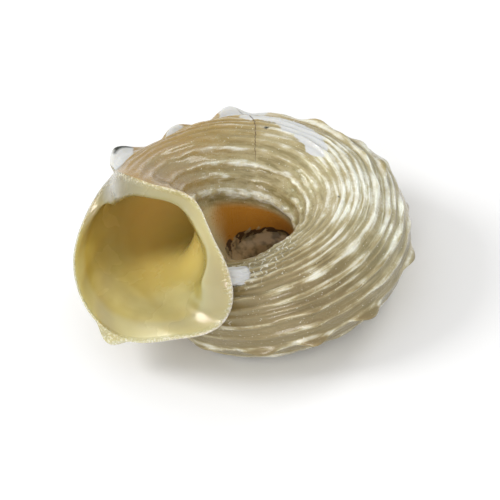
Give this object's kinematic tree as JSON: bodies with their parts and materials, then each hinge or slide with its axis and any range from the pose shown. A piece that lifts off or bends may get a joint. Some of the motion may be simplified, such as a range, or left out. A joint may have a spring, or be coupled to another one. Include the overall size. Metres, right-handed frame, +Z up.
{
  "type": "sea snail shell",
  "caption": "Coiled one-piece sea snail shell lying on its flat spire, with a wide open navel, knobbed spiral ridges and a round flared mouth.",
  "frame": {"origin": "on the surface the shell lies on, under the middle of its box", "axes": "+Z up, -Y toward the mouth's open side, +X to the right of the mouth along the longest way across"},
  "size_m": [0.0556, 0.0496, 0.0298],
  "materials": {
    "shell": "pearly, polished down to mother-of-pearl"
  },
  "bodies": {
    "root": {"shell": "shell"}
  },
  "joints": []
}
